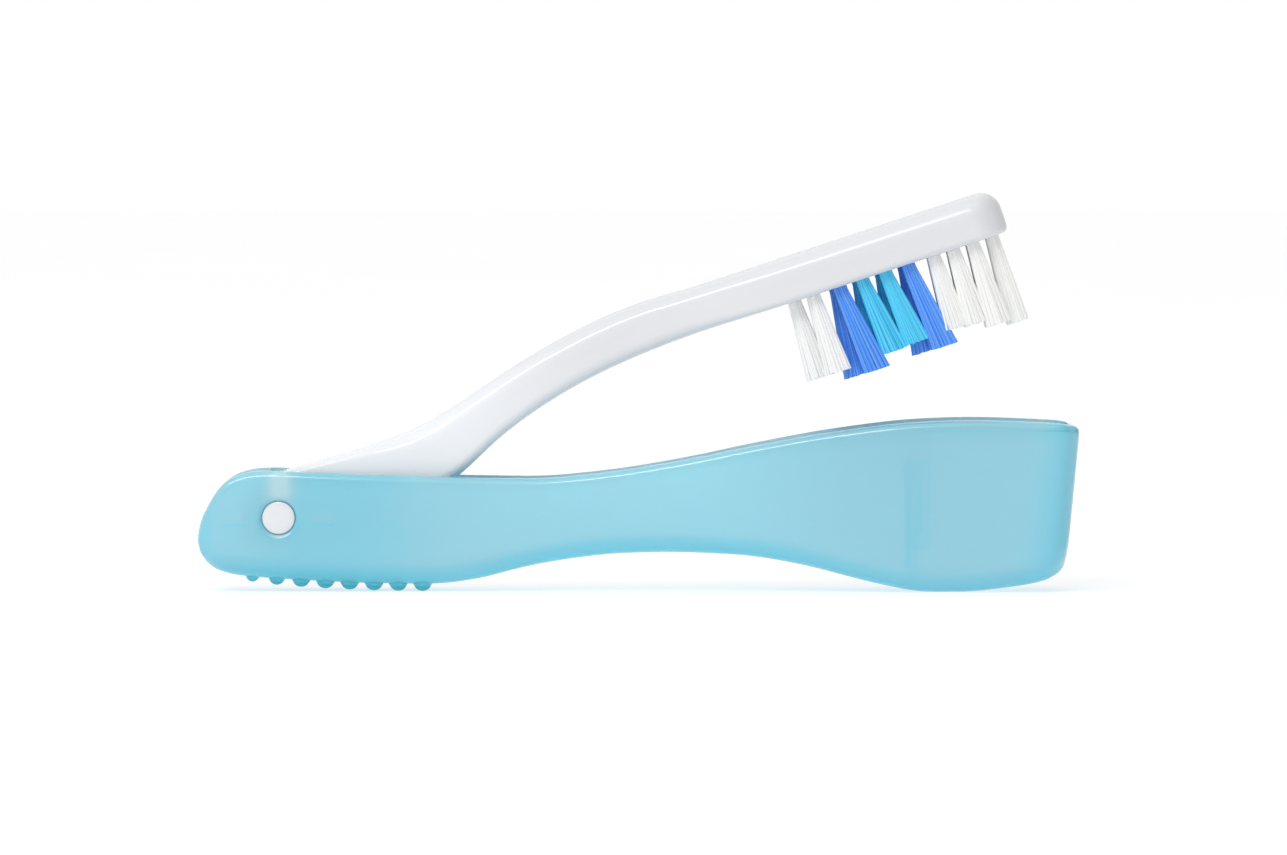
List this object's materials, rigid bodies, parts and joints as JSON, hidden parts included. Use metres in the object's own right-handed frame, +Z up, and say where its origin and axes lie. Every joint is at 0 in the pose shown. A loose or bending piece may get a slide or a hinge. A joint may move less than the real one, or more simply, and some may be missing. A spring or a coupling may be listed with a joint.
{
  "type": "folding toothbrush",
  "caption": "Folding travel toothbrush: a curved arm with a tufted head swings out of the long hollow case that becomes its handle.",
  "frame": {"origin": "on the ground, under the middle of the case and arm's bounding box", "axes": "+X along the case from the hinge yoke to the head bay, +Y across to the left, +Z up out of the case's open side"},
  "size_m": [0.1028, 0.0144, 0.0466],
  "materials": {
    "case": "frosted translucent light blue moulding, soft gloss",
    "arm": "opaque white moulding, soft gloss",
    "tuft_white": "white nylon filaments",
    "tuft_blue": "royal blue nylon filaments",
    "tuft_cyan": "light blue nylon filaments",
    "anchor": "plain stamped plate"
  },
  "bodies": {
    "case": {"case_shell": "case"},
    "brush": {"brush_arm": "arm", "tuft_01_right": "tuft_white", "tuft_01_left": "tuft_white", "tuft_02_right": "tuft_white", "tuft_02_middle": "tuft_white", "tuft_02_left": "tuft_white", "tuft_03_right": "tuft_blue", "tuft_03_middle": "tuft_blue", "tuft_03_left": "tuft_blue", "tuft_04_right": "tuft_cyan", "tuft_04_middle": "tuft_cyan", "tuft_04_left": "tuft_cyan", "tuft_05_right": "tuft_cyan", "tuft_05_middle": "tuft_cyan", "tuft_05_left": "tuft_cyan", "tuft_06_right": "tuft_blue", "tuft_06_middle": "tuft_blue", "tuft_06_left": "tuft_blue", "tuft_07_right": "tuft_white", "tuft_07_middle": "tuft_white", "tuft_07_left": "tuft_white", "tuft_08_right": "tuft_white", "tuft_08_middle": "tuft_white", "tuft_08_left": "tuft_white", "tuft_09_right": "tuft_white", "tuft_09_middle": "tuft_white", "tuft_09_left": "tuft_white", "tuft_10_right": "tuft_white", "tuft_10_left": "tuft_white", "anchor_01_right": "anchor", "anchor_01_left": "anchor", "anchor_02_right": "anchor", "anchor_02_middle": "anchor", "anchor_02_left": "anchor", "anchor_03_right": "anchor", "anchor_03_middle": "anchor", "anchor_03_left": "anchor", "anchor_04_right": "anchor", "anchor_04_middle": "anchor", "anchor_04_left": "anchor", "anchor_05_right": "anchor", "anchor_05_middle": "anchor", "anchor_05_left": "anchor", "anchor_06_right": "anchor", "anchor_06_middle": "anchor", "anchor_06_left": "anchor", "anchor_07_right": "anchor", "anchor_07_middle": "anchor", "anchor_07_left": "anchor", "anchor_08_right": "anchor", "anchor_08_middle": "anchor", "anchor_08_left": "anchor", "anchor_09_right": "anchor", "anchor_09_middle": "anchor", "anchor_09_left": "anchor", "anchor_10_right": "anchor", "anchor_10_left": "anchor"}
  },
  "joints": [
    {"name": "brush_hinge", "type": "hinge", "parent": "case", "child": "brush", "pos_m": [-0.04205, 0, 0.0087], "axis": [0, -1, 0], "range_deg": [-18.2, 161.8]}
  ]
}
